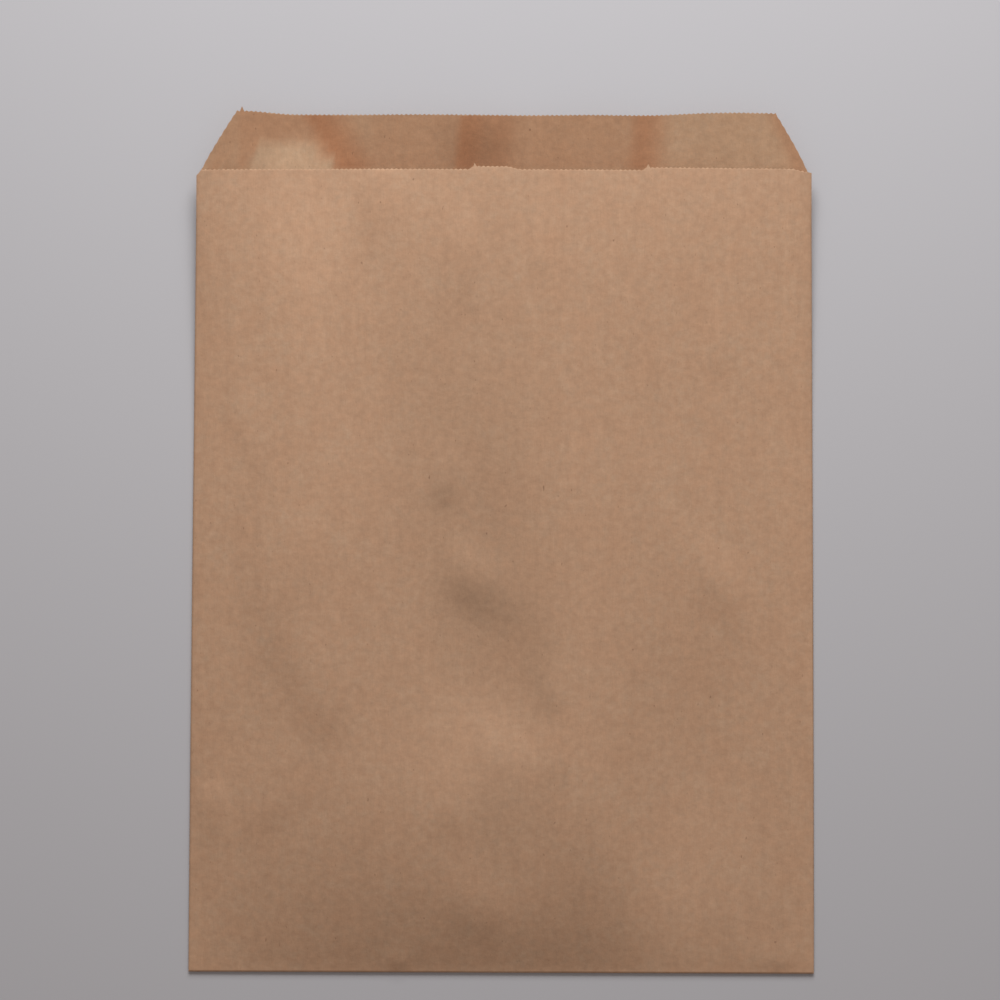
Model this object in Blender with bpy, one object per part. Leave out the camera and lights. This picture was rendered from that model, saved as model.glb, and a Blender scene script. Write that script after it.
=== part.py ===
"""Flat brown paper bag with a pinch bottom, lying on its back.

One sheet of kraft paper is folded into a flat tube, with a glued lap seam down the middle of the
back. The tube's end is folded over and glued to the back. A toothed knife cuts the mouth: the front
ply is cut lower, and the back ply stands past it as a lip with two sloping shoulders.

Metres, +Z up, X across the bag, +Y from the bottom fold to the mouth. The front ply faces up. The
origin is under the middle of the bag, on the surface that it lies on.
"""
import math

import bmesh
import bpy

# The sheet and its folds
flat_width = 0.216  # across the side folds, pressed flat
front_height = 0.2769  # from the bottom fold to the front ply's cut edge
paper = 0.0001  # thickness of one ply
seam_lap = 0.016  # width of the glued lap down the back
flap_depth = 0.018  # how far the folded end reaches up the back
fold_radius = 0.00035  # outside radius of the side and bottom folds
settle_length = 0.012  # the back ply comes down to the surface over this length beside a lap

# The mouth
lip_height = 0.0216  # how far the tag on the lip's left corner stands past the front ply
lip_dip = 0.0025  # the lip's edge lies this far below the tip of that tag
lip_tag = -0.0920  # where the tag stands, across the bag
lip_tag_height = 0.0014
left_shoulder = (0.0008, 0.0142)  # where it starts and ends, in from the side fold
right_shoulder = (0.0013, 0.0128)
shoulder_bend = 0.86  # under 1 the shoulders bend outwards
left_drop = 0.0022  # the side fold ends this far below the front ply's edge
right_drop = 0.0005
corner_clip = 0.0018  # width of the clipped corners of the front ply
tooth_pitch = 0.0016  # one tooth of the knife
tooth_depth = 0.0004
knife_tip = 0.0012  # height of the small tags that the knife leaves on the front ply

# How the front ply stands off the back ply
belly_height = 0.0085  # above the bottom fold, in the middle and on the left
belly_rise = 0.074  # reached this far up from the bottom fold
right_lower = 0.0070  # the right side stands this much lower there
right_short = 0.050  # and its rise ends sooner
right_from = 0.024  # from here across to the right
right_width = 0.036
pressed_edge = 0.0025  # the pressed bottom fold holds the ply down over this length
mouth_opening = 0.0105  # in the middle of the mouth
draw_in = 0.0020  # the open mouth pulls each side fold in
left_lift = 0.0040  # the ends of the side folds rise off the surface
right_lift = 0.0030
lift_width = 0.034  # the back ply rises to its side folds over this width
wave_reach = 0.120  # the lip's waves run this far down the back
lip_curl = 0.0050  # the lip's edge curls up
least_gap = 0.0002  # the plies stay this far apart inside

# Waves of the lip: middle across the bag, half width, height
lip_waves = (
    (-0.030, 0.026, 0.0034),
    (0.031, 0.028, 0.0038),
    (0.072, 0.020, 0.0018),
)

# The lip's edge stands higher at its corners: middle across the bag, half width, height
lip_corners = (
    (lip_tag, 0.020, 0.0011),
    (0.082, 0.040, 0.0011),
)

# Soft dents and swells of the front ply: across, up from the bottom fold, half sizes, height
front_dents = (
    (-0.006, 0.110, 0.060, 0.095, -0.0022),
    (-0.076, 0.168, 0.050, 0.120, 0.0038),
    (-0.064, 0.112, 0.024, 0.050, 0.0014),
    (-0.030, 0.112, 0.026, 0.052, -0.0018),
    (-0.021, 0.104, 0.018, 0.022, -0.0012),
    (-0.004, 0.104, 0.024, 0.034, -0.0014),
    (-0.010, 0.148, 0.018, 0.030, 0.0008),
    (0.016, 0.138, 0.020, 0.040, 0.0012),
    (0.016, 0.056, 0.018, 0.034, -0.0008),
    (-0.021, 0.140, 0.020, 0.026, -0.0012),
    (0.030, 0.140, 0.018, 0.050, -0.0010),
    (-0.036, 0.240, 0.030, 0.060, 0.0010),
    (-0.004, 0.280, 0.026, 0.040, -0.0012),
    (-0.076, 0.288, 0.044, 0.060, -0.0018),
    (0.072, 0.075, 0.040, 0.060, -0.0012),
)

# Local swells of the back ply near the mouth: across, up from the bottom fold, half sizes, height
lip_swells = (
    (-0.072, 0.270, 0.024, 0.018, 0.0018),
    (-0.004, 0.296, 0.022, 0.024, 0.0022),
)

# Knife marks on the front ply: where a tag stands, and how far and how much higher the edge runs past it
knife_marks = ((-0.0107, 0.0160, 0.0004), (0.0498, 0.0560, 0.0006))
knife_ease = 0.0040  # the raised edge comes back down over this length

# How finely the surfaces are divided
column_step = 0.0125
row_step = 0.0140
mouth_rows = 3
mouth_depth = 0.0115  # the rows follow the cut over this depth

half_width = flat_width / 2
lip_top = front_height + lip_height
body_top = front_height - mouth_depth
middle_y = lip_top / 2
fold_wall = 1.5 * paper  # from the outside of a fold's nose to its inside


def smooth(value):
    """Ease from 0 to 1."""
    value = min(1.0, max(0.0, value))
    return value * value * (3 - 2 * value)


def bump(distance, reach):
    """A soft bump, 1 in the middle and 0 from reach outwards."""
    share = min(1.0, abs(distance) / reach)
    return math.cos(share * math.pi / 2) ** 2


def swells(x, y, table):
    """Soft local swells and dents, added up."""
    return sum(
        height * bump(x - middle_x, reach_x) * bump(y - up, reach_y)
        for middle_x, up, reach_x, reach_y, height in table
    )


def plan_x(x, y):
    """Where a place of the flat bag lies once the open mouth has pulled the folds in."""
    opened = (max(0.0, min(y, front_height)) / front_height) ** 1.3
    return x * (1 - draw_in / half_width * opened)


def belly(x, y):
    """Height of the front ply above the back ply, before it comes down to the side folds."""
    right = smooth((x - right_from) / right_width)
    height = belly_height - right_lower * right
    rise = belly_rise - right_short * right
    up = y * y / (y + pressed_edge)
    low = 1 - max(0.0, 1 - up / rise) ** 2.2
    high = smooth((y - rise) / (front_height - rise))
    return height * low + (mouth_opening - height) * high


def curl(y):
    """The back ply curls up from below the front ply's edge to the edge of the lip."""
    share = (y - (front_height - lip_height)) / (2 * lip_height)
    return lip_curl * min(1.0, max(0.0, share)) ** 1.6


def upper_rise(y):
    """How strongly the folds' lift and the lip's waves show at a height."""
    return smooth((y - (lip_top - wave_reach)) / wave_reach)


def back_form(x, y):
    """Height of the back ply's outer face, without its laps."""
    waves = sum(height * bump(x - middle, reach) for middle, reach, height in lip_waves)
    lift = (left_lift if x < 0 else right_lift) * bump(half_width - abs(x), lift_width)
    return (lift + waves) * upper_rise(y) + curl(y) + swells(x, y, lip_swells)


def seam_step(x):
    """Height of the back ply over the glued lap's outer edge, in plies."""
    past_edge = -seam_lap / 2 - x
    return bump(past_edge, settle_length) if past_edge > 0 else 0.0


def flap_step(y):
    """Height of the back ply over the flap's edge, in plies."""
    past_edge = y - flap_depth
    return 2 * bump(past_edge, settle_length) if past_edge > 0 else 0.0


def back_outside(x, y):
    """Height of the face that the bag lies on."""
    lowest = 0.0 if y <= flap_depth else (seam_step(x) + flap_step(y)) * paper
    return lowest + back_form(x, y)


def back_inside(x, y):
    """Height of the back ply's inner face: the outer face and the plies between."""
    plies = 1
    if y <= flap_depth:
        plies += 2
    if -seam_lap / 2 <= x < seam_lap / 2:
        plies += 1
    elif y <= flap_depth:
        plies += seam_step(x)
    return back_outside(x, y) + plies * paper


def front_form(x, y):
    """Height of the arched front ply's inner face, before it meets the back ply."""
    across = x / half_width
    arch = belly(x, y) * max(0.0, 1 - across * across) ** 0.7
    sides = (left_lift * (1 - across) + right_lift * (1 + across)) / 2 * upper_rise(y)
    edge = smooth((half_width - abs(x)) / lift_width) * smooth(y / lift_width)
    return 2 * fold_radius - paper + sides + arch + swells(x, y, front_dents) * edge


def front_inside(x, y):
    """Height of the front ply's inner face, which stays clear of the back ply."""
    return max(front_form(x, y), back_inside(x, y) + least_gap)


def front_outside(x, y):
    """Height of the face that shows."""
    return front_inside(x, y) + paper


def knife_tooth(x):
    """The toothed knife's line: 0 at a tooth's tip, down to minus the tooth's depth."""
    phase = x / tooth_pitch % 1.0
    return -tooth_depth * abs(2 * phase - 1)


def fold_end(x):
    """Height where the side fold on this side ends at the mouth."""
    return front_height - (left_drop if x < 0 else right_drop)


def front_cut(x):
    """Height of the front ply's cut edge, with its clipped corners and the knife's marks."""
    raised = 0.0
    tag = 0.0
    for place, run, rise in knife_marks:
        if place < x < place + run:
            raised = rise * min(1.0, (place + run - x) / knife_ease)
        if abs(x - place) < tooth_pitch / 2:
            tag = knife_tip
    inset = half_width - abs(x)
    clipped = (front_height - fold_end(x)) * max(0.0, 1 - inset / corner_clip)
    return front_height - clipped + raised + tag + knife_tooth(x) * min(1.0, inset / corner_clip)


def back_cut(x):
    """Height of the back ply's cut edge: the lip, its sloping shoulders and the tag on its corner."""
    inset = half_width - abs(x)
    start, end = left_shoulder if x < 0 else right_shoulder
    up_slope = min(1.0, max(0.0, (inset - start) / (end - start))) ** shoulder_bend
    corners = sum(height * bump(x - middle, reach) for middle, reach, height in lip_corners)
    tag = lip_tag_height if abs(x - lip_tag) < tooth_pitch / 4 else 0.0
    top = lip_top - lip_dip + corners + tag
    return fold_end(x) + (top - fold_end(x)) * up_slope + knife_tooth(x) * min(1.0, inset / corner_clip)


def divided(marks, step):
    """The marks in order, with even places between any two that are further apart than step."""
    marks = sorted(marks)
    places = [marks[0]]
    for low, high in zip(marks, marks[1:]):
        count = max(1, math.ceil((high - low) / step - 1e-6))
        places += [low + (high - low) * part / count for part in range(1, count + 1)]
    return places


def column_places():
    """Places across the bag where the surfaces are divided, clear of the side folds."""
    edge = paper * 2
    marks = [-seam_lap / 2 - settle_length, -seam_lap / 2 - edge, -seam_lap / 2]
    marks += [seam_lap / 2 - edge, seam_lap / 2]
    marks += [place for place, run, rise in knife_marks]
    marks += [inset - half_width for inset in (fold_radius, corner_clip, *left_shoulder)]
    marks += [half_width - inset for inset in (fold_radius, corner_clip, *right_shoulder)]
    return divided(marks, column_step)


def row_places():
    """Heights where the surfaces are divided, from the bottom fold to just under the mouth."""
    marks = [fold_radius, flap_depth, flap_depth + 2 * paper]
    marks += [flap_depth + settle_length, body_top]
    return divided(marks, row_step)


def cut_chain(low, high):
    """Places across the bag for the knife's teeth between two columns, both ends included."""
    half_pitch = tooth_pitch / 2
    first = math.floor(low / half_pitch) + 1
    last = math.ceil(high / half_pitch) - 1
    inside = [index * half_pitch for index in range(first, last + 1)]
    clear = tooth_pitch / 10
    inside = [x for x in inside if x - low > clear and high - x > clear]
    return [low] + inside + [high]


class Skin:
    """One face of one ply, as rows of vertices from the bottom to the toothed cut."""

    def __init__(self, mesh, columns, rows, height, cut):
        self.mesh = mesh
        self.columns = columns
        self.height = height
        self.grid = [[self.vertex(x, y) for x in columns] for y in rows]
        for part in range(1, mouth_rows):
            share = part / mouth_rows
            line = [(x, body_top + (cut(x) - body_top) * share) for x in columns]
            self.grid.append([self.vertex(x, y) for x, y in line])
        self.chains = []
        for low, high in zip(columns, columns[1:]):
            chain = [self.vertex(x, cut(x)) for x in cut_chain(low, high)[:-1]]
            self.chains.append(chain)
        self.chains.append([self.vertex(columns[-1], cut(columns[-1]))])

    def vertex(self, x, y):
        return self.mesh.verts.new((plan_x(x, y), y - middle_y, self.height(x, y)))

    def rim(self):
        return [vertex for chain in self.chains for vertex in chain]

    def side(self, index):
        """The vertices of the first or last column, from the bottom to the cut."""
        return [row[index] for row in self.grid] + [self.chains[index][0]]

    def face(self):
        """Fill the grid and the toothed strip above it with triangles."""
        for lower, upper in zip(self.grid, self.grid[1:]):
            strip(self.mesh, lower, upper)
        top = self.grid[-1]
        for index, chain in enumerate(self.chains[:-1]):
            teeth = chain + [self.chains[index + 1][0]]
            middle = len(teeth) // 2
            for place, (first, second) in enumerate(zip(teeth, teeth[1:])):
                corner = top[index] if place < middle else top[index + 1]
                self.mesh.faces.new((corner, second, first))
            self.mesh.faces.new((top[index], top[index + 1], teeth[middle]))


def strip(mesh, first, second):
    """Triangles between two lines of vertices of one length."""
    for a, b, c, d in zip(first, first[1:], second[1:], second):
        mesh.faces.new((a, b, c))
        mesh.faces.new((a, c, d))


class Pocket:
    """A front and a back skin, closed along the side folds and the bottom fold."""

    def __init__(self, mesh, front_face, back_face, inset):
        self.mesh = mesh
        columns = column_places()
        rows = row_places()
        self.skins = (
            Skin(mesh, columns, rows, front_face, front_cut),
            Skin(mesh, columns, rows, back_face, back_cut),
        )
        edge = half_width - inset
        self.folds = [self.fold_line(x, rows) for x in (-edge, edge)]
        base = [self.fold_vertex(x, inset) for x in columns]
        for skin in self.skins:
            skin.face()
            strip(mesh, base, skin.grid[0])
        for fold, index, x in zip(self.folds, (0, -1), (-edge, edge)):
            corner = self.fold_vertex(x, inset)
            for skin in self.skins:
                strip(mesh, fold, skin.side(index))
                strip(mesh, [corner, base[index]], [fold[0], skin.grid[0][index]])

    def fold_line(self, x, rows):
        """The vertices up a side fold, to where it ends at the mouth."""
        shares = [part / mouth_rows for part in range(1, mouth_rows + 1)]
        cut_rows = [body_top + (fold_end(x) - body_top) * share for share in shares]
        return [self.fold_vertex(x, y) for y in rows + cut_rows]

    def fold_vertex(self, x, y):
        """A vertex on a fold, half way between the plies' inner faces."""
        middle = (front_inside(x, y) + back_inside(x, y)) / 2
        return self.mesh.verts.new((plan_x(x, y), y - middle_y, middle))


def close_mouth(mesh, outside, inside):
    """The cut edge of the paper, all the way round the mouth."""
    for outer, inner in zip(outside.skins, inside.skins):
        outer_rim = [outside.folds[0][-1]] + outer.rim() + [outside.folds[1][-1]]
        inner_rim = [inside.folds[0][-1]] + inner.rim() + [inside.folds[1][-1]]
        strip(mesh, outer_rim, inner_rim)


def kraft_paper():
    """Unbleached kraft: matt, light brown."""
    material = bpy.data.materials.new("kraft_paper")
    material.use_nodes = True
    surface = material.node_tree.nodes["Principled BSDF"]
    surface.inputs["Base Color"].default_value = (0.42, 0.26, 0.16, 1)
    surface.inputs["Roughness"].default_value = 0.85
    surface.inputs["Metallic"].default_value = 0.0
    return material


def paper_bag():
    """The folded sheet: an outer and an inner pocket, joined by the cut edge at the mouth."""
    mesh = bmesh.new()
    outside = Pocket(mesh, front_outside, back_outside, 0.0)
    inside = Pocket(mesh, front_inside, back_inside, fold_wall)
    close_mouth(mesh, outside, inside)
    bmesh.ops.recalc_face_normals(mesh, faces=mesh.faces)
    data = bpy.data.meshes.new("paper_bag")
    mesh.to_mesh(data)
    mesh.free()
    data.shade_smooth()
    data.set_sharp_from_angle(angle=math.radians(40))
    data.materials.append(kraft_paper())
    bag = bpy.data.objects.new("paper_bag", data)
    bpy.context.scene.collection.objects.link(bag)
    return bag


for old in list(bpy.data.objects):
    bpy.data.objects.remove(old, do_unlink=True)
paper_bag()
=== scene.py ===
"""The looks of a flat brown kraft paper bag that lies on its back under a soft studio light."""

import math

import bmesh
import bpy
import numpy as np
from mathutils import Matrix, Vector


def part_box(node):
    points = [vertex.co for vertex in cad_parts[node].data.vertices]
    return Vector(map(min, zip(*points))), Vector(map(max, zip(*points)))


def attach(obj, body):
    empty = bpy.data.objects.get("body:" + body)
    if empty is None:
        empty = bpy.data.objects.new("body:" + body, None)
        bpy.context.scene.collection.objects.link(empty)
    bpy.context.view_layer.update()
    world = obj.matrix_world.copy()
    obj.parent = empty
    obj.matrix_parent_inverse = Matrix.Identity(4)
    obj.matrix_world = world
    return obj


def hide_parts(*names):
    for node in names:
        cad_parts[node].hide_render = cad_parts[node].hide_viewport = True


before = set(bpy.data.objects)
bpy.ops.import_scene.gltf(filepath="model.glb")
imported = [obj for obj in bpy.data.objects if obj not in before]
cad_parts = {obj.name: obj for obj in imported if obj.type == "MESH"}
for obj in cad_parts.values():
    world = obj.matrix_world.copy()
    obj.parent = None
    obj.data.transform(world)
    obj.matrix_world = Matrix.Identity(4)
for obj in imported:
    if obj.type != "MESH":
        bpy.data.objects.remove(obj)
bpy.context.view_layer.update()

# All sizes are in metres. The bag's width and its height come from the frame.
bag_low, bag_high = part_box("paper_bag")
half_width = (bag_high[0] - bag_low[0]) / 2
lip_top = bag_high[1] - bag_low[1]
middle_y = lip_top / 2
lip_height = 0.0216
front_height = lip_top - lip_height

# The paper, its glued laps and its folds
paper = 0.0001
ply_edge = 2 * paper
least_gap = 0.0002
seam_lap = 0.016
flap_depth = 0.018
settle_length = 0.012
fold_radius = 0.00035
fold_wall = 1.5 * paper

# The outline at the mouth: the lip and its sloping shoulders, the clipped corners and the knife's teeth
lip_dip = 0.0025
lip_tag = -0.0920
lip_tag_height = 0.0014
left_shoulder = (0.0008, 0.0142)
right_shoulder = (0.0013, 0.0128)
shoulder_bend = 0.86
left_drop = 0.0022
right_drop = 0.0005
corner_clip = 0.0018
tooth_pitch = 0.0016
tooth_depth = 0.0004
knife_tip = 0.0010

# How the front ply rises from the bottom fold to its belly
pressed_edge = 0.0010
belly_height = 0.0085
belly_rise = 0.074
belly_fullness = 2.2
arch_fullness = 0.7

# On the right the belly is lower and its rise is shorter: by how much, from where, and over what width
right_lower = 0.0070
right_short = 0.050
right_from = 0.024
right_width = 0.036

# How the mouth stands open, curls up and draws the side folds in and up
mouth_opening = 0.0105
opening_ease = 1.3
draw_in = 0.0020
lip_curl = 0.0050
curl_ease = 1.6
left_lift = 0.0040
right_lift = 0.0030
lift_width = 0.034
wave_reach = 0.120

# Waves of the lip: middle across the bag, half width, height
lip_waves = (
    (-0.030, 0.026, 0.0034),
    (0.031, 0.028, 0.0038),
    (0.072, 0.020, 0.0018),
)

# The lip's edge stands higher at its corners: middle across the bag, half width, height
lip_corners = (
    (lip_tag, 0.020, 0.0011),
    (0.082, 0.040, 0.0011),
)

# Dents and creases of the front ply: the crest's place across and up from the bottom fold, how far it
# reaches left and right, below and above, how the crest slants, and its height
front_dents = (
    ((-0.006, 0.110), (0.060, 0.060), (0.095, 0.095), 0.0, -0.0024),
    ((-0.076, 0.168), (0.050, 0.050), (0.120, 0.120), 0.0, 0.0036),
    ((-0.036, 0.240), (0.030, 0.030), (0.060, 0.060), 0.0, 0.0006),
    ((-0.076, 0.288), (0.044, 0.044), (0.060, 0.060), 0.0, -0.0014),
    ((0.072, 0.075), (0.040, 0.040), (0.060, 0.060), 0.0, -0.0012),
    ((-0.020, 0.169), (0.009, 0.008), (0.010, 0.022), 0.0, 0.0006),
    ((-0.013, 0.137), (0.009, 0.022), (0.017, 0.016), -0.45, 0.0008),
    ((0.004, 0.093), (0.038, 0.018), (0.024, 0.044), -0.45, -0.0012),
    ((-0.008, 0.104), (0.038, 0.034), (0.050, 0.110), 0.0, -0.0013),
    ((0.018, 0.096), (0.008, 0.006), (0.010, 0.016), 0.0, 0.0006),
    ((0.020, 0.074), (0.012, 0.009), (0.012, 0.024), 0.0, 0.0004),
    ((-0.061, 0.094), (0.012, 0.014), (0.020, 0.040), 0.0, 0.0007),
    ((-0.076, 0.118), (0.026, 0.020), (0.030, 0.046), -1.6, 0.0007),
    ((-0.090, 0.186), (0.010, 0.010), (0.012, 0.026), -1.8, 0.0006),
    ((-0.069, 0.147), (0.010, 0.010), (0.026, 0.018), 0.0, 0.0005),
    ((0.076, 0.135), (0.022, 0.016), (0.020, 0.016), -0.90, 0.0007),
    ((-0.070, 0.222), (0.012, 0.014), (0.060, 0.060), 0.0, 0.0009),
    ((-0.090, 0.230), (0.012, 0.010), (0.050, 0.050), 0.0, -0.0006),
    ((-0.044, 0.272), (0.012, 0.012), (0.034, 0.014), 0.0, 0.0010),
    ((-0.014, 0.251), (0.011, 0.009), (0.030, 0.022), 0.0, 0.0006),
    ((0.013, 0.246), (0.007, 0.006), (0.009, 0.020), 0.0, 0.0003),
    ((0.076, 0.214), (0.010, 0.010), (0.010, 0.026), 0.0, 0.0003),
    ((-0.010, 0.020), (0.016, 0.014), (0.012, 0.026), -0.4, 0.0006),
    ((-0.081, 0.057), (0.024, 0.024), (0.014, 0.030), 0.58, 0.0005),
    ((-0.018, 0.054), (0.009, 0.008), (0.009, 0.020), 0.0, 0.0004),
    ((0.002, 0.042), (0.034, 0.026), (0.036, 0.064), 0.0, -0.0010),
)

# Small creases in the same words, which fade out only this close to the folds
fold_creases = (
    ((-0.0356, 0.0026), (0.006, 0.005), (0.0026, 0.008), 0.0, 0.00045),
    ((-0.1010, 0.0600), (0.007, 0.010), (0.024, 0.007), 0.0, 0.0006),
    ((0.0960, 0.0040), (0.016, 0.010), (0.004, 0.012), 0.0, 0.0004),
)
fold_clearance = 0.002

# Painted shade on the front ply, over its middle and on the sides of its dents that turn from the light: in
# the same words, with how dark in place of the height
front_painted_shade = (
    ((-0.006, 0.120), (0.055, 0.045), (0.090, 0.110), 0.0, 0.28),
    ((-0.012, 0.131), (0.014, 0.030), (0.014, 0.014), -0.4, 0.48),
    ((-0.020, 0.163), (0.012, 0.008), (0.010, 0.014), 0.0, 0.20),
    ((0.015, 0.104), (0.012, 0.008), (0.022, 0.026), 0.0, 0.40),
    ((-0.009, 0.014), (0.014, 0.014), (0.010, 0.012), -0.4, 0.15),
    ((-0.014, 0.210), (0.040, 0.045), (0.070, 0.060), 0.0, 0.26),
    ((0.001, 0.056), (0.022, 0.026), (0.028, 0.030), 0.0, 0.32),
)

# Local swells of the back ply near the mouth: across, up from the bottom fold, half sizes, height
lip_swells = (
    (-0.072, 0.270, 0.024, 0.018, 0.0018),
    (-0.009, 0.296, 0.022, 0.024, 0.0020),
)

# Knife marks on the front ply: where a tag stands, and how far and how much higher the edge runs past it
knife_marks = ((-0.0107, 0.0160, 0.0010), (0.0498, 0.0560, 0.0009))
knife_ease = 0.0040

# Painted shade on the lip, redder where it stands in for light bounced between the plies: middle at its
# base and at its edge, reach to the left and right, strength
lip_shades = (
    (-0.1020, -0.0915, 0.014, 0.012, 0.45),
    (-0.0556, -0.0676, 0.009, 0.024, 1.00),
    (-0.0155, -0.0135, 0.006, 0.024, 0.95),
    (-0.0040, -0.0020, 0.018, 0.020, 0.75),
    (0.0474, 0.0490, 0.011, 0.016, 0.85),
    (0.1044, 0.0960, 0.007, 0.010, 0.60),
)
lip_shade_least = 0.20

# Wide even painted shades on the lip: middle, reach, strength
wide_shades = (
    (0.0, 0.062, 0.50),
    (-0.078, 0.020, 0.60),
)

# A paler patch on the lip, where light falls straight on it, is left without the painted shade; it stands
# on the front ply's edge like a mound
pale_places = (-0.0915, -0.0860, -0.0690, -0.0575)
pale_height = 0.0107
pale_blur = 0.0015

# What shows in the paper: size across and along the bag in millimetres, detail of the noise, the part of
# the noise that shows, and the values that it runs over
cloud_contrast = 0.22
patterns = {
    # Pulp gathers in small clouds
    "clouds": ((2.6, 2.6), 5.0, (0.0, 1.0), (1 - cloud_contrast, 1 + cloud_contrast)),
    # Real fibres are a tenth as wide, and would be lost between the pixels
    "fibres": ((0.4, 3.2), 1.0, (0.0, 1.0), (0.93, 1.07)),
    # The paper machine draws the pulp lengthwise
    "streaks": ((3.0, 40.0), 1.0, (0.0, 1.0), (0.95, 1.05)),
    # Some of the pulp is redder, in places a finger wide and in small ones
    "redder": ((12.0, 12.0), 5.0, (0.30, 0.75), (0.0, 1.0)),
    "mottled": ((2.4, 2.4), 2.0, (0.35, 0.65), (0.0, 0.7)),
    # Specks of bark are rare
    "specks": ((0.8, 1.6), 0.0, (0.82, 0.92), (0.0, 0.5)),
    # The knife frays the fibres unevenly along the cut
    "frayed": ((4.0, 4.0), 1.0, (0.40, 0.60), (0.2, 1.0)),
}
noise_roughness = 0.65
bark_colour = "#6E4E36"
fray_colour = "#BE9A7B"
fray_width = 0.0003
cockle_height = 0.00008

# The knife bends the front ply's edge down a little
edge_roll = 0.00005
edge_band = 0.0007

# How finely the paper is divided: one narrow row beside each fold keeps the fold crisp
crisp_fold = 0.0007
column_step = 0.0021
row_step = 0.0021
mouth_rows = 8
mouth_depth = 0.0115
body_top = front_height - mouth_depth
sharp_angle = 40

# The studio: the lamp stands beyond the mouth and shines along the bag, and its angles are in degrees
floor_colour = "#B4B4B8"
floor_roughness = 0.9
floor_reach = 4.0
lamp_width = 0.8
lamp_depth = 0.4
lamp_power = 3.85
lamp_spread = 90
lamp_place = (0.02, 0.85, 0.42)
lamp_tilt = -60
room_colour = "#FFF1EA"
room_light = 0.30

# The camera looks straight down at the bag
camera_place = (-0.0010, 0.0140)
camera_distance = 2.00
camera_turn = 0.21
metres_across = 0.3455
sensor_width = 36


def smooth(value):
    """Ease from 0 to 1."""
    value = np.clip(value, 0.0, 1.0)
    return value * value * (3 - 2 * value)


def bump(distance, reach):
    """A soft bump, 1 in the middle and 0 from reach outwards."""
    share = np.minimum(1.0, np.abs(distance) / reach)
    return np.cos(share * math.pi / 2) ** 2


def plateau(distance, reach):
    """1 up to two thirds of the reach, and 0 from the reach outwards."""
    return smooth(3 * (1 - np.abs(distance) / reach))


def swells(x, y):
    """Height of the back ply's local swells near the mouth."""
    return sum(
        height * bump(x - middle_x, reach_x) * bump(y - up, reach_y)
        for middle_x, up, reach_x, reach_y, height in lip_swells
    )


def relief(x, y, table):
    """The front ply's dents, creases or painted shade of a table, added up."""
    total = np.zeros_like(x)
    for (middle_x, up), (left, right), (below, above), slant, height in table:
        past = x - middle_x
        over = y - up - slant * past
        share = np.where(past < 0, bump(past, left), bump(past, right))
        total = total + height * share * np.where(over < 0, bump(over, below), bump(over, above))
    return total


def opened(y):
    """How far the bag is open at a height: 0 at the bottom fold, 1 at the mouth."""
    return (np.clip(y, 0.0, front_height) / front_height) ** opening_ease


def plan_x(x, y):
    """Where a place of the flat bag lies once the open mouth has pulled the folds in."""
    return x * (1 - draw_in / half_width * opened(y))


def belly(x, y):
    """Height of the front ply above the back, in the middle of the bag."""
    right = smooth((x - right_from) / right_width)
    height = belly_height - right_lower * right
    rise = belly_rise - right_short * right
    up = y * y / (y + pressed_edge)
    low = 1 - np.clip(1 - up / rise, 0.0, 1.0) ** belly_fullness
    high = smooth((y - rise) / (front_height - rise))
    return height * low + (mouth_opening - height) * high


def curl(y):
    """The back ply curls up from below the front ply's edge to the edge of the lip."""
    share = np.clip((y - (front_height - lip_height)) / (2 * lip_height), 0.0, 1.0)
    return lip_curl * share ** curl_ease


def upper_rise(y):
    """How strongly the folds' lift and the lip's waves show at a height."""
    return smooth((y - (lip_top - wave_reach)) / wave_reach)


def back_form(x, y):
    """Height of the back ply's outer face, without its laps."""
    waves = sum(height * bump(x - middle, reach) for middle, reach, height in lip_waves)
    lift = np.where(x < 0, left_lift, right_lift) * bump(half_width - np.abs(x), lift_width)
    return (lift + waves) * upper_rise(y) + curl(y) + swells(x, y)


def seam_step(x):
    """Height of the back ply over the glued lap's outer edge, in plies."""
    past_edge = -seam_lap / 2 - x
    return np.where(past_edge > 0, bump(past_edge, settle_length), 0.0)


def flap_step(y):
    """Height of the back ply over the flap's edge, in plies."""
    past_edge = y - flap_depth
    return np.where(past_edge > 0, 2 * bump(past_edge, settle_length), 0.0)


def back_outside(x, y):
    """Height of the face that the bag lies on."""
    above_flap = np.where(y <= flap_depth, 0.0, seam_step(x) + flap_step(y))
    return above_flap * paper + back_form(x, y)


def back_inside(x, y):
    """Height of the back ply's inner face: the outer face and the plies between."""
    in_flap = y <= flap_depth
    in_seam = (x >= -seam_lap / 2) & (x < seam_lap / 2)
    plies = 1 + 2 * in_flap + np.where(in_seam, 1.0, np.where(in_flap, seam_step(x), 0.0))
    return back_outside(x, y) + plies * paper


def front_form(x, y):
    """Height of the arched front ply's inner face, before it meets the back ply."""
    across = x / half_width
    arch = belly(x, y) * np.maximum(0.0, 1 - across * across) ** arch_fullness
    sides = (left_lift * (1 - across) + right_lift * (1 + across)) / 2 * upper_rise(y)
    inset = half_width - np.abs(x)
    dents = relief(x, y, front_dents) * smooth(inset / lift_width) * smooth(y / lift_width)
    creases = relief(x, y, fold_creases) * smooth(inset / fold_clearance) * smooth(y / fold_clearance)
    roll = edge_roll * np.clip(1 - (front_line(x) - y) / edge_band, 0.0, 1.0) ** 2
    return 2 * fold_radius - paper + sides + arch + dents + creases - roll


def front_inside(x, y):
    """Height of the front ply's inner face, which stays clear of the back ply."""
    return np.maximum(front_form(x, y), back_inside(x, y) + least_gap)


def front_outside(x, y):
    """Height of the face that shows."""
    return front_inside(x, y) + paper


def knife_tooth(x):
    """The toothed knife's line: 0 at a tooth's tip, down to minus the tooth's depth."""
    phase = x / tooth_pitch % 1.0
    return -tooth_depth * np.abs(2 * phase - 1)


def fold_end(x):
    """Height where the side fold on this side ends at the mouth."""
    return front_height - np.where(x < 0, left_drop, right_drop)


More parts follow.
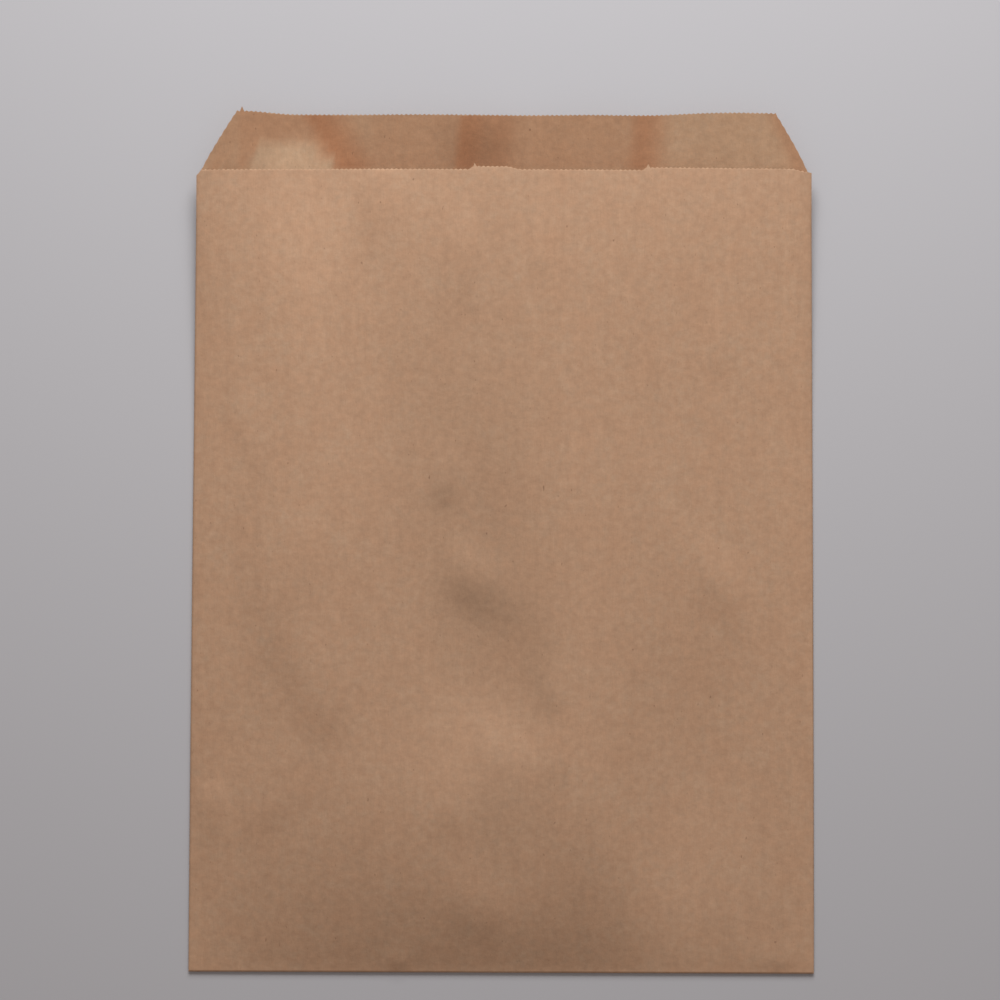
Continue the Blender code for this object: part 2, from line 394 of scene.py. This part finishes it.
def corner_tooth(x):
    """The knife's line, which fades out at the corners."""
    return knife_tooth(x) * np.minimum(1.0, (half_width - np.abs(x)) / corner_clip)


def front_line(x):
    """Height of the front ply's edge, with its clipped corners, without its teeth and tags."""
    past_marks = np.zeros_like(x)
    for place, run, rise in knife_marks:
        past = (place < x) & (x < place + run)
        past_marks += np.where(past, rise * np.minimum(1.0, (place + run - x) / knife_ease), 0.0)
    inset = half_width - np.abs(x)
    clipped = (front_height - fold_end(x)) * np.maximum(0.0, 1 - inset / corner_clip)
    return front_height - clipped + past_marks


def front_cut(x):
    """Height of the front ply's toothed edge, with the knife's tags."""
    edge = front_line(x) + corner_tooth(x)
    for place, run, rise in knife_marks:
        edge = edge + np.where(np.abs(x - place) < tooth_pitch / 2, knife_tip, 0.0)
    return edge


def back_line(x):
    """Height of the back ply's edge, the lip and its sloping shoulders, without teeth and tag."""
    inset = half_width - np.abs(x)
    start, end = (np.where(x < 0, left, right) for left, right in zip(left_shoulder, right_shoulder))
    up_slope = np.clip((inset - start) / (end - start), 0.0, 1.0) ** shoulder_bend
    corners = sum(height * bump(x - middle, reach) for middle, reach, height in lip_corners)
    top = lip_top - lip_dip + corners
    return fold_end(x) + (top - fold_end(x)) * up_slope


def back_cut(x):
    """Height of the back ply's toothed edge, with the tag on its corner."""
    tag = np.where(np.abs(x - lip_tag) < tooth_pitch / 4, lip_tag_height, 0.0)
    return back_line(x) + corner_tooth(x) + tag


def lip_shade(x, y):
    """How much painted shade, red and dark, the lip's inner face takes, from 0 to 1."""
    up = np.clip((y - front_height) / (lip_top - lip_dip - front_height), 0.0, 1.0)
    total = np.full_like(x, lip_shade_least)
    for middle, reach, strength in wide_shades:
        total = np.maximum(total, strength * plateau(x - middle, reach))
    for base, edge, left, right, strength in lip_shades:
        past = x - (base + (edge - base) * up)
        total = np.maximum(total, strength * np.where(past < 0, bump(past, left), bump(past, right)))
    patch_top = front_height + np.interp(x, pale_places, (-pale_blur, pale_height, pale_height, -pale_blur))
    return total * (1 - smooth((patch_top - y) / pale_blur + 0.5))


def darkened(x, y, height):
    """How much painted shade the face with these heights takes: on the lip's inside, and over the front
    ply's middle and dents.
    """
    if height is back_inside:
        return lip_shade(x, y)
    if height is front_outside:
        return relief(x, y, front_painted_shade)
    return np.zeros_like(x)


def divided(marks, step):
    """The marks in order, with even places between any two that are further apart than step."""
    marks = sorted(marks)
    places = [marks[0]]
    for low, high in zip(marks, marks[1:]):
        count = max(1, math.ceil((high - low) / step - 1e-6))
        places += [low + (high - low) * part / count for part in range(1, count + 1)]
    return np.array(places)


def column_places():
    """Places across the bag where the surfaces are divided, clear of the side folds."""
    marks = [-seam_lap / 2 - settle_length, -seam_lap / 2 - ply_edge, -seam_lap / 2]
    marks += [seam_lap / 2 - ply_edge, seam_lap / 2]
    marks += [lip_tag] + [place for place, run, rise in knife_marks]
    marks += [inset - half_width for inset in (fold_radius, crisp_fold, corner_clip, *left_shoulder)]
    marks += [half_width - inset for inset in (fold_radius, crisp_fold, corner_clip, *right_shoulder)]
    return divided(marks, column_step)


def row_places():
    """Heights where the surfaces are divided, from the bottom fold to just under the mouth."""
    marks = [fold_radius, crisp_fold, flap_depth, flap_depth + ply_edge]
    marks += [flap_depth + settle_length, body_top]
    return divided(marks, row_step)


class Paper:
    """The vertices and faces of the folded sheet, with what the materials need to know."""

    def __init__(self):
        self.places = []
        self.faces = []
        self.sides = []
        self.edge = []
        self.shade = []

    def line(self, x, y, height, from_cut):
        """Add a line of vertices and return their numbers."""
        x, y = np.broadcast_arrays(np.asarray(x, float), np.asarray(y, float))
        first = len(self.places)
        self.places += list(zip(plan_x(x, y), y - middle_y, height(x, y)))
        self.edge += list(np.broadcast_to(from_cut, x.shape))
        self.shade += list(darkened(x, y, height))
        return list(range(first, first + len(x)))

    def strip(self, first, second, side):
        """Quads between two lines of vertices of one length."""
        for a, b, c, d in zip(first, first[1:], second[1:], second):
            self.faces.append((a, b, c, d))
            self.sides.append(side)

    def mesh(self, name):
        """The sheet as a mesh that carries what the materials need to know."""
        data = bpy.data.meshes.new(name)
        data.from_pydata(self.places, [], self.faces)
        data.polygons.foreach_set("material_index", self.sides)
        for label, values in (("from_cut", self.edge), ("shade", self.shade)):
            data.attributes.new(label, "FLOAT", "POINT").data.foreach_set("value", values)
        return data


# Which material a face takes, in the order in which the bag is given them
OUTER, INNER, CUT = 0, 1, 2

# A distance from the cut that is too large to matter, for the bottom fold
far_from_cut = 0.05


class Skin:
    """One face of one ply, as rows of vertices from the bottom to the toothed cut."""

    def __init__(self, sheet, columns, rows, height, line, cut, side):
        cut_y = cut(columns)
        self.grid = []
        for y in rows:
            self.grid.append(sheet.line(columns, np.full_like(columns, y), height, cut_y - y))
        for y in mouth_places(line(columns)):
            self.grid.append(sheet.line(columns, y, height, cut_y - y))
        self.chains = []
        for low, high in zip(columns, columns[1:]):
            places = cut_chain(low, high)[:-1]
            self.chains.append(sheet.line(places, cut(places), height, 0.0))
        last = columns[-1:]
        self.chains.append(sheet.line(last, cut(last), height, 0.0))
        for lower, upper in zip(self.grid, self.grid[1:]):
            sheet.strip(lower, upper, side)
        for index, chain in enumerate(self.chains[:-1]):
            teeth = chain + [self.chains[index + 1][0]]
            corners = (self.grid[-1][index], self.grid[-1][index + 1])
            sheet.faces.append((*corners, *reversed(teeth)))
            sheet.sides.append(side)

    def rim(self):
        """The vertices along the toothed cut, from left to right."""
        return [vertex for chain in self.chains for vertex in chain]

    def side(self, index):
        """The vertices of the first or last column, from the bottom to the cut."""
        return [row[index] for row in self.grid] + [self.chains[index][0]]


def mouth_places(line):
    """Heights of the rows near the mouth, closer together towards the foot of the teeth."""
    foot = line - tooth_depth - paper
    return [foot - (foot - body_top) * (1 - part / mouth_rows) ** 2 for part in range(1, mouth_rows + 1)]


def cut_chain(low, high):
    """Places across the bag for the knife's teeth between two columns, both ends included."""
    half_pitch = tooth_pitch / 2
    first = math.floor(low / half_pitch) + 1
    last = math.ceil(high / half_pitch) - 1
    inside = [index * half_pitch for index in range(first, last + 1)]
    clear = tooth_pitch / 10
    inside = [x for x in inside if x - low > clear and high - x > clear]
    return np.array([low] + inside + [high])


class Pocket:
    """A front and a back skin, closed along the side folds and the bottom fold."""

    def __init__(self, sheet, front_face, back_face, inset, side):
        columns = column_places()
        rows = row_places()
        self.skins = (
            Skin(sheet, columns, rows, front_face, front_line, front_cut, side),
            Skin(sheet, columns, rows, back_face, back_line, back_cut, side),
        )
        edge = half_width - inset
        base = sheet.line(columns, np.full_like(columns, inset), middle_height, far_from_cut)
        self.folds = []
        for skin in self.skins:
            sheet.strip(base, skin.grid[0], side)
        for x, index in ((-edge, 0), (edge, -1)):
            fold_rows = np.concatenate((rows, mouth_places(fold_end(x)), [fold_end(x)]))
            fold = sheet.line(np.full_like(fold_rows, x), fold_rows, middle_height, fold_end(x) - fold_rows)
            corner = sheet.line([x], [inset], middle_height, far_from_cut)[0]
            for skin in self.skins:
                sheet.strip(fold, skin.side(index), side)
                for neighbour in (base[index], fold[0]):
                    sheet.faces.append((corner, neighbour, skin.grid[0][index]))
                    sheet.sides.append(side)
            self.folds.append(fold)


def middle_height(x, y):
    """Half way between the plies' inner faces, where a fold's nose lies."""
    return (front_inside(x, y) + back_inside(x, y)) / 2


def paper_bag():
    """The folded sheet: an outer and an inner pocket, joined by the cut edge at the mouth."""
    sheet = Paper()
    outside = Pocket(sheet, front_outside, back_outside, 0.0, OUTER)
    inside = Pocket(sheet, front_inside, back_inside, fold_wall, INNER)
    for outer, inner in zip(outside.skins, inside.skins):
        outer_rim = [outside.folds[0][-1]] + outer.rim() + [outside.folds[1][-1]]
        inner_rim = [inside.folds[0][-1]] + inner.rim() + [inside.folds[1][-1]]
        sheet.strip(outer_rim, inner_rim, CUT)
    data = sheet.mesh("kraft_paper_bag")
    bag = bpy.data.objects.new("kraft_paper_bag", data)
    bpy.context.scene.collection.objects.link(bag)
    outward(data)
    data.shade_smooth()
    data.set_sharp_from_angle(angle=math.radians(sharp_angle))
    return bag


def outward(data):
    """Turn all faces to the outside of the paper."""
    mesh = bmesh.new()
    mesh.from_mesh(data)
    bmesh.ops.recalc_face_normals(mesh, faces=mesh.faces)
    mesh.to_mesh(data)
    mesh.free()


def linear(colour):
    """An sRGB hex colour as linear red, green, blue and alpha."""
    parts = [int(colour[place:place + 2], 16) / 255 for place in (1, 3, 5)]
    return [part / 12.92 if part <= 0.04045 else ((part + 0.055) / 1.055) ** 2.4 for part in parts] + [1.0]


def add(tree, kind, settings, inputs):
    """Add a node, set its properties, and set or link its inputs."""
    node = tree.nodes.new(kind)
    for name, value in settings.items():
        setattr(node, name, value)
    for name, value in inputs.items():
        if isinstance(value, bpy.types.NodeSocket):
            tree.links.new(value, node.inputs[name])
        else:
            node.inputs[name].default_value = value
    return node


def new_material(name, roughness):
    """A material, its node tree and its surface, with the roughness set."""
    material = bpy.data.materials.new(name)
    material.use_nodes = True
    surface = material.node_tree.nodes["Principled BSDF"]
    surface.inputs["Roughness"].default_value = roughness
    return material, material.node_tree, surface


def pattern(tree, place, size, detail, shown, values):
    """A noise with blotches of this size in millimetres, whose shown part runs over the values."""
    width, length = size
    lengthwise = add(tree, "ShaderNodeMapping", {}, {"Vector": place, "Scale": (1.0, width / length, 1.0)})
    noise = add(tree, "ShaderNodeTexNoise", {}, {
        "Vector": lengthwise.outputs["Vector"], "Scale": 1000 / width,
        "Detail": detail, "Roughness": noise_roughness,
    })
    spread = add(tree, "ShaderNodeMapRange", {}, {
        "Value": noise.outputs["Fac"], "From Min": shown[0], "From Max": shown[1],
        "To Min": values[0], "To Max": values[1],
    })
    return spread.outputs["Result"]


def kraft(name, colour, red, dark, roughness):
    """Unbleached kraft paper, made of long brown fibres on a wire, and not coated.

    To the eye it is matt and slightly cloudy, with fine lengthwise fibres, redder and paler places a
    finger wide, and now and then a dark speck of bark. Where it was cut it is a little paler and frayed.
    """
    material, tree, surface = new_material(name, roughness)
    place = add(tree, "ShaderNodeTexCoord", {}, {}).outputs["Object"]
    shown = {label: pattern(tree, place, *row) for label, row in patterns.items()}
    # The shade attribute carries the painted shade of the lip and of the front ply's dents, which mixes the
    # pulp towards the dark colour
    shade = add(tree, "ShaderNodeAttribute", {"attribute_name": "shade"}, {}).outputs["Fac"]
    from_cut = add(tree, "ShaderNodeAttribute", {"attribute_name": "from_cut"}, {}).outputs["Fac"]
    at_cut = add(tree, "ShaderNodeMapRange", {}, {
        "Value": from_cut, "From Min": fray_width, "From Max": 0.0, "To Max": shown["frayed"],
    }).outputs["Result"]
    tints = (
        (shown["redder"], red), (shown["mottled"], red), (shade, dark),
        (at_cut, fray_colour), (shown["specks"], bark_colour),
    )
    pulp = linear(colour)
    for share, other in tints:
        # The mix's colours go by number, because its sockets for other kinds of value share their names
        mixed = add(tree, "ShaderNodeMix", {"data_type": "RGBA"}, {0: share, 6: pulp, 7: linear(other)})
        pulp = mixed.outputs[2]
    for label in ("clouds", "fibres", "streaks"):
        toned = add(tree, "ShaderNodeVectorMath", {"operation": "SCALE"}, {
            "Vector": pulp, "Scale": shown[label],
        })
        pulp = toned.outputs["Vector"]
    tree.links.new(pulp, surface.inputs["Base Color"])
    # Where the pulp is thicker it stands up a little, which keeps the light on the paper uneven
    cockle = add(tree, "ShaderNodeBump", {}, {
        "Height": shown["clouds"], "Distance": cockle_height / (2 * cloud_contrast),
    })
    tree.links.new(cockle.outputs["Normal"], surface.inputs["Normal"])
    return material


def painted(name, colour, roughness):
    """Matt wall paint, rolled on, which gives the eye one even colour without gloss."""
    material, tree, surface = new_material(name, roughness)
    surface.inputs["Base Color"].default_value = linear(colour)
    return material


def studio():
    """A plain pale floor, one large soft light beyond the mouth, and an even pale room."""
    floor_data = bpy.data.meshes.new("floor")
    signs = ((-1, -1), (1, -1), (1, 1), (-1, 1))
    corners = [(floor_reach * across, floor_reach * along, 0) for across, along in signs]
    floor_data.from_pydata(corners, [], [(0, 1, 2, 3)])
    floor_data.materials.append(painted("matt_painted_floor", floor_colour, floor_roughness))
    floor = bpy.data.objects.new("floor", floor_data)
    # A hair lower than the bag, so that the two faces don't flicker into each other where it lies flat
    floor.location.z = -paper
    bpy.context.scene.collection.objects.link(floor)

    light_data = bpy.data.lights.new("soft_light", "AREA")
    light_data.shape = "RECTANGLE"
    light_data.size = lamp_width
    light_data.size_y = lamp_depth
    light_data.energy = lamp_power
    light_data.spread = math.radians(lamp_spread)
    light = bpy.data.objects.new("soft_light", light_data)
    light.location = lamp_place
    light.rotation_euler = (math.radians(lamp_tilt), 0, 0)
    bpy.context.scene.collection.objects.link(light)

    world = bpy.data.worlds.new("room")
    world.use_nodes = True
    background = world.node_tree.nodes["Background"]
    background.inputs["Color"].default_value = linear(room_colour)
    background.inputs["Strength"].default_value = room_light
    bpy.context.scene.world = world


def camera():
    """A long lens straight above the bag, framed as the photograph is."""
    data = bpy.data.cameras.new("camera")
    data.sensor_width = sensor_width
    data.lens = sensor_width * camera_distance / metres_across
    seen = bpy.data.objects.new("camera", data)
    seen.location = (*camera_place, camera_distance)
    seen.rotation_euler = (0, 0, math.radians(camera_turn))
    bpy.context.scene.collection.objects.link(seen)
    bpy.context.scene.camera = seen


bag = paper_bag()
# Outside, the paper was pressed against the drying roll and is a little smoother and greyer, and its dark
# colour is the painted shade of the front ply's dents and middle
bag.data.materials.append(kraft("kraft_outer_face", "#B59478", "#B38C6E", "#A28166", 0.75))
# Inside, the face is rougher, and its dark colour is a warm painted shade for light that has passed through
# the paper and bounced between the plies
bag.data.materials.append(kraft("kraft_inner_face", "#BA9D80", "#B69475", "#AA7754", 0.85))
# The knife leaves the paper's thickness open, with loose fibre ends that look pale and quite matt
bag.data.materials.append(kraft("kraft_cut_edge", "#BE9A7B", "#BA9474", "#BE9A7B", 0.9))
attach(bag, "root")
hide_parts("paper_bag")
studio()
camera()
bpy.context.scene.view_settings.view_transform = "Standard"
